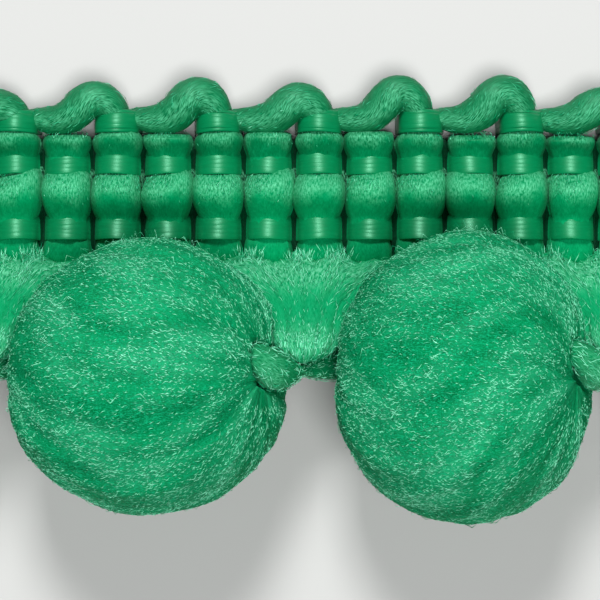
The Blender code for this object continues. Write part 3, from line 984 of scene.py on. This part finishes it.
def neck_nap(path, form, rng):
    """Crimped fibre drawn along the neck."""
    count = NECK_NAP
    part = np.linspace(0, 1, SKIRT_NAP_RINGS)
    start = rng.uniform(0, len(path) - 5, count)[:, None]
    low, step, middle = stop_at(path, start + part * rng.uniform(0.7, 2.2, (count, 1)))
    tall, deep = read_at(form[:, 3], low, step), read_at(form[:, 4], low, step)
    turn = rng.uniform(-math.pi * 0.75, math.pi * 0.75, (count, 1)) + rng.normal(0, 0.25, (count, 1)) * part
    stand = rng.uniform(0.0, 0.05, (count, 1)) + 0.04 * np.sin(math.pi * part)
    side, _ = square_to(unit(path[low + 1] - path[low]), PICOTWARD)
    face = -np.sign(side[..., 2:3])
    return (
        middle
        + PICOTWARD * ((tall + stand) * np.sin(turn))[..., None]
        - side * face * ((deep + stand) * np.cos(turn))[..., None]
    )


neck_fibre = yarn_material(
    "neck_fibre", NECK_TONES, NECK_FILAMENTS, NECK_CLUMPS,
    bump=0.5, roughness=0.55, crosswise=0.4, glint=0.15,
)
neck_lines = []
for neck in range(NECK_COUNT):
    rings, path, form = neck_rings(neck)
    neck_lines.append((path, np.maximum(form[:, 3], form[:, 4])))
    lap = np.abs(np.linspace(0, 1, NECK_AROUND, endpoint=False) - 0.5) * 4
    runs = [ring_run(lap + neck * 3, path[:, 0])]
    pinched = ringed_piece(f"neck_{neck + 1}_body", [rings], [neck_fibre], runs, [neck_brushed_highlight(form)])
    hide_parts(f"neck_{neck + 1}")
    strand_paths = neck_nap(path, form, np.random.default_rng(NECK_SEED + neck))
    strands = fibre_piece(
        f"neck_{neck + 1}_fibres", strand_paths, SKIRT_NAP_RADIUS, NECK_UP,
        NECK_TONE_SHARES, NECK_TONE_SEED + neck, skirt_tones,
    )


# Pompoms: puffed balls of crimped fibre. The fibre runs from a pit on the left behind to a pit on
# the right in front, because each ball is one stretch of a rope of fibre pinched off at its ends.

POMPOMS = (
    # (x, y, half width, half height, half depth, turn of the lobes)
    (-17.95, -3.20, 5.10, 5.42, 4.95, 0.8),
    (-5.84, -3.16, 5.30, 5.20, 5.00, 0.0),
    (6.10, -3.20, 4.90, 5.50, 5.05, 1.7),
    (18.00, -3.22, 5.12, 5.36, 4.95, 2.6),
)
POMPOM_MIDDLE_Z = 5.0
POLE_LIFT = math.radians(28.0)
FULLNESS = 0.90
FUNNEL_DEEP = 0.07
FUNNEL_WIDE = 0.45
MEAN_RADIUS = 5.1
RUN_RADIUS = 5.2
BALL_RINGS = 66
BALL_SPOKES = 116
BALL_UNDER = 0.02
PIT_CLEARANCE = 0.12
CUP_START = 20
CUP_REACH = 0.05
FIBRES_PER_BALL = 19600
FIBRE_RINGS = 3
FIBRE_RADIUS = 0.0115
COMBED_LENGTH = 0.30
COMBED_LIFT = 0.016
STRAY_FIBRES = 1300
STRAY_LENGTH = 0.75
STRAY_LIFT = 0.28
BALL_BRUSHED = 0.70
BALL_DEEP = (0.0, 0.118, 0.031)
BALL_LIGHT = (0.0, 0.215, 0.066)
BALL_PALE = (0.026, 0.392, 0.172, 1)
# Painted glint: fine crest lines on the ball's body are painted lighter, partly the grain of the fibre and
# partly its glint.
BALL_CREST_GLINT = (0.008, 0.50, 0.222, 1)
CREST_GLINT_SHARE = 0.72
CREST_WIDE = 0.042
# The last share is of filaments in the painted glint tone.
BALL_TONE_SHARES = (0.04, 0.22, 0.36, 0.38)
BALL_SEED = 700
BALL_TONE_SEED = 720


def drifted(pole_angle, turn, phase):
    """The turn of a band of fibre, which wanders a little from pole to pole."""
    return turn + 0.25 * np.sin(2 * pole_angle + phase)


def lumps(pole_angle, turn, phase):
    """Broad bands and finer locks of fibre that run from pole to pole."""
    drift = drifted(pole_angle, turn, phase)
    broad = 0.013 * np.cos(5 * drift + phase) + 0.008 * np.cos(8 * drift - 2 * phase)
    locks = 0.008 * np.sin(17 * drift + 2.4 * np.sin(3 * pole_angle + phase) + phase)
    locks = locks + 0.006 * np.sin(29 * drift - 3.1 * np.sin(2 * pole_angle) + 5 * phase)
    patches = 0.006 * np.sin(6 * pole_angle + 4 * np.sin(2 * turn + phase))
    return broad + locks + patches


def tufted(pole_angle, turn, phase):
    """How tufted a ball is from place to place, 0 to 1: broad bands and narrow ones."""
    drift = drifted(pole_angle, turn, phase)
    broad = np.sin(6 * drift + 2.2 * np.sin(2.3 * pole_angle + phase)) * np.cos(3 * pole_angle + 2 * drift)
    narrow = np.sin(17 * drift + 2.6 * np.sin(3.1 * pole_angle)) * np.cos(5 * pole_angle - 3 * drift + phase)
    return np.clip(0.46 + 0.52 * broad + 0.34 * narrow, 0, 1)


def ball_point(ball, pole_angle, turn, stand):
    """Where a fibre lies on a ball, stand millimetres above its surface."""
    x, y, half_x, half_y, half_z, phase = ball
    girth = np.sin(pole_angle) ** FULLNESS
    near_end = np.minimum(pole_angle, math.pi - pole_angle)
    funnel = 1 - FUNNEL_DEEP * np.exp(-((near_end / FUNNEL_WIDE) ** 2))
    swell = 1 + lumps(pole_angle, turn, phase)
    along = -np.cos(pole_angle) * (1 + 0.3 * (swell - 1)) * funnel
    up = girth * swell * np.sin(turn)
    lean, rise = math.cos(POLE_LIFT), math.sin(POLE_LIFT)
    leaned = np.stack([along * lean - up * rise, girth * swell * np.cos(turn), along * rise + up * lean], -1)
    offset = leaned * (half_x, half_y, half_z) * (1 + stand / MEAN_RADIUS)[..., None]
    return offset + (x, y, POMPOM_MIDDLE_Z)


def drawn_in(points, ball, neck_near):
    """Makes the pits: what is too close to the pinched fibre is drawn in to the ball's middle."""
    middle = np.array([ball[0], ball[1], POMPOM_MIDDLE_Z])
    for _ in range(4):
        short = np.zeros(points.shape[:-1])
        for path, half in neck_near:
            for stop, reach in zip(path[::3], half[::3]):
                away = np.linalg.norm(points - stop, axis=-1) - reach
                short = np.maximum(short, PIT_CLEARANCE - away)
        points = points + unit(middle - points) * short[..., None]
    points[..., 2] = np.maximum(points[..., 2], LOWEST_Z)
    return points


def ball_fibres(ball, neck_near, count, longest, lift_most, rng):
    """Crests of crimped filament combed from pole to pole, and the way out of the ball at each.
    Their ends dive back into the ball."""
    pole_angle = np.arccos(rng.uniform(-0.985, 0.985, count * 3))
    turn = rng.uniform(0, math.tau, count * 3)
    lit = np.sin(turn) * math.cos(POLE_LIFT) - np.cos(pole_angle) * 0.4
    chance = (0.14 + 0.86 * tufted(pole_angle, turn, ball[5])) * np.where(lit > -0.35, 1.0, 0.3)
    kept = rng.uniform(0, 1, count * 3) < chance
    pole_angle, turn = pole_angle[kept][:count, None], turn[kept][:count, None]
    one_each = (len(turn), 1)
    share = np.linspace(-0.5, 0.5, FIBRE_RINGS)
    length = rng.uniform(0.35, 1.0, one_each) ** 1.5 * longest
    slant = rng.normal(0, 0.30, one_each)
    bow = rng.normal(0, 0.20, one_each) * length * (4 * share**2)
    along = np.clip(pole_angle + share * length / RUN_RADIUS, 0.08, math.pi - 0.05)
    sideways = share * length * slant + bow
    around = turn + sideways / (RUN_RADIUS * np.maximum(np.sin(along), 0.22))
    lift = rng.uniform(0.0, 1.0, one_each) ** 2 * lift_most * np.where(np.cos(turn) > 0, 1, 0.35) + 0.012
    lift = lift * (1.25 - 5 * share**2) - 0.024
    points = drawn_in(ball_point(ball, along, around, lift), ball, neck_near)
    outward = unit(points[:, FIBRE_RINGS // 2] - (ball[0], ball[1], POMPOM_MIDDLE_Z))
    return points, outward[:, None, :]


def crest_glint_lines(tree, run, stretch, shift):
    """Fine wandering lines where single filaments crest out of the mat of fibre, painted lighter as their
    glint.
    """
    noise = noise_along(tree, run, 2.0, stretch, shift, 0.5)
    fold = reckoned(tree, "ABSOLUTE", reckoned(tree, "SUBTRACT", noise, 0.5))
    return ranged(tree, fold, 1.0, 0.0, 0.0, CREST_WIDE)


def matted_fibre(name):
    """The body of a ball: a mat of crimped fibre in broad darker and lighter bands, with fine crest lines
    painted lighter as glints.
    """
    material, tree, surface, run, brushed_and_highlight = combed_material(name)
    bands = noise_along(tree, run, 3.0, (0.35, 1.1, 1.0))
    dyed = toned(tree, bands, ((0.39, BALL_DEEP), (0.61, BALL_LIGHT)))
    first = crest_glint_lines(tree, run, (3.4, 13.0, 1.0), (0.0, 0.0, 0.0))
    second = crest_glint_lines(tree, run, (6.0, 23.0, 1.0), (17.0, 5.0, 0.0))
    crests_and_glints = reckoned(tree, "ADD", first, second, clamped=True)
    pale = tinted(tree, brushed_and_highlight, dyed, BALL_PALE)
    fed(tree, surface, {
        "Base Color": tinted(tree, reckoned(tree, "MULTIPLY", crests_and_glints, CREST_GLINT_SHARE), pale, BALL_CREST_GLINT),
        "Roughness": ranged(tree, crests_and_glints, 0.62, 0.45),
        "Normal": relief(tree, crests_and_glints, 0.6, 0.00005),
        "Specular IOR Level": 0.06,
    })
    return material


cup_lines = []
for neck in range(NECK_COUNT):
    y, left, right, face, thickness = between(SKIRT_FORM, SKIRT_STEPS)[CUP_START::2].T
    cup_middle = np.stack([(right - left) / 2 + neck_x(neck), y, face - thickness], -1)
    cup_lines.append((np.repeat(cup_middle, 3, axis=0), np.repeat((left + right) / 2 - CUP_REACH, 3)))
ball_fibre = matted_fibre("ball_fibre")
ball_tones = fibre_materials("ball_filament", 0.30)
for number, ball in enumerate(POMPOMS):
    neck_near = neck_lines[number:number + 2] + cup_lines[number:number + 2]
    pole_angle = np.linspace(0.03, math.pi - 0.02, BALL_RINGS)
    turn = ring_turns(BALL_SPOKES)
    grid_pole, grid_turn = np.meshgrid(pole_angle, turn, indexing="ij")
    under = np.full(grid_pole.shape, -BALL_UNDER)
    rings = drawn_in(ball_point(ball, grid_pole, grid_turn, under), ball, neck_near)
    run = ring_run(np.abs(turn - math.pi) * RUN_RADIUS + number * 40, pole_angle * RUN_RADIUS)[:, ::-1]
    # On the balls this lighter share is only the paler tone of tufted fibre, not a highlight.
    brushed_and_highlight = BALL_BRUSHED * tufted(grid_pole, grid_turn, ball[5]).ravel() ** 1.5
    body = ringed_piece(f"pompom_{number + 1}_ball", [rings], [ball_fibre], [run], [brushed_and_highlight])
    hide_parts(f"pompom_{number + 1}")
    rng = np.random.default_rng(BALL_SEED + number)
    combed, combed_out = ball_fibres(ball, neck_near, FIBRES_PER_BALL, COMBED_LENGTH, COMBED_LIFT, rng)
    strays, strays_out = ball_fibres(ball, neck_near, STRAY_FIBRES, STRAY_LENGTH, STRAY_LIFT, rng)
    fibres = fibre_piece(
        f"pompom_{number + 1}_fibres", np.concatenate([combed, strays]), FIBRE_RADIUS,
        np.concatenate([combed_out, strays_out]), BALL_TONE_SHARES, BALL_TONE_SEED + number, ball_tones,
    )


# Stage: a plain pale floor, soft studio light from the picot side and the front, and the camera
# straight above the face, as close as the photograph was taken.

STAGE_WIDTH = 1.2
STAGE_TOP = -0.00002
STAGE_GREY = (0.50, 0.50, 0.49, 1)
TRIM_CENTRE = (0, 0, 0.004)
STUDIO_AIR = (0.9, 0.95, 1.0, 1)
STUDIO_AIR_STRENGTH = 0.13
CAMERA_PLACE = (-0.00011, -0.00011, 0.0939)
CAMERA_LENS = 141.0

bpy.ops.mesh.primitive_plane_add(size=STAGE_WIDTH, location=(0, 0, STAGE_TOP))
floor = bpy.context.object
floor.name = "floor"
floor_paint = bpy.data.materials.new("floor_paint")
floor_paint.use_nodes = True
floor_surface = floor_paint.node_tree.nodes["Principled BSDF"]
fed(floor_paint.node_tree, floor_surface, {"Base Color": STAGE_GREY, "Roughness": 0.8})
floor.data.materials.append(floor_paint)


def soft_light(name, place, width, watts, glints):
    """A square softbox at a place in metres, turned to the middle of the trim."""
    lamp = bpy.data.lights.new(name, "AREA")
    lamp.shape = "SQUARE"
    lamp.size = width
    lamp.energy = watts
    holder = bpy.data.objects.new(name, lamp)
    bpy.context.scene.collection.objects.link(holder)
    holder.location = place
    direction = np.asarray(TRIM_CENTRE, float) - np.asarray(place, float)
    flat = math.hypot(direction[0], direction[1])
    holder.rotation_euler = (math.atan2(flat, -direction[2]), 0, math.atan2(-direction[0], direction[1]))
    holder.visible_glossy = glints


soft_light("key_light", (-0.015, 0.21, 0.25), width=0.08, watts=1.03, glints=True)
soft_light("front_light", (0.04, -0.10, 0.33), width=0.16, watts=1.06, glints=False)
world = bpy.data.worlds.new("studio")
world.use_nodes = True
air = {"Color": STUDIO_AIR, "Strength": STUDIO_AIR_STRENGTH}
fed(world.node_tree, world.node_tree.nodes["Background"], air)
world.cycles_visibility.glossy = False
bpy.context.scene.world = world
bpy.context.scene.view_settings.view_transform = "Standard"

camera_data = bpy.data.cameras.new("camera")
camera_data.lens = CAMERA_LENS
camera_data.sensor_width = 36.0
camera_data.clip_start = 0.005
camera = bpy.data.objects.new("camera", camera_data)
camera.location = CAMERA_PLACE
bpy.context.scene.collection.objects.link(camera)
bpy.context.scene.camera = camera
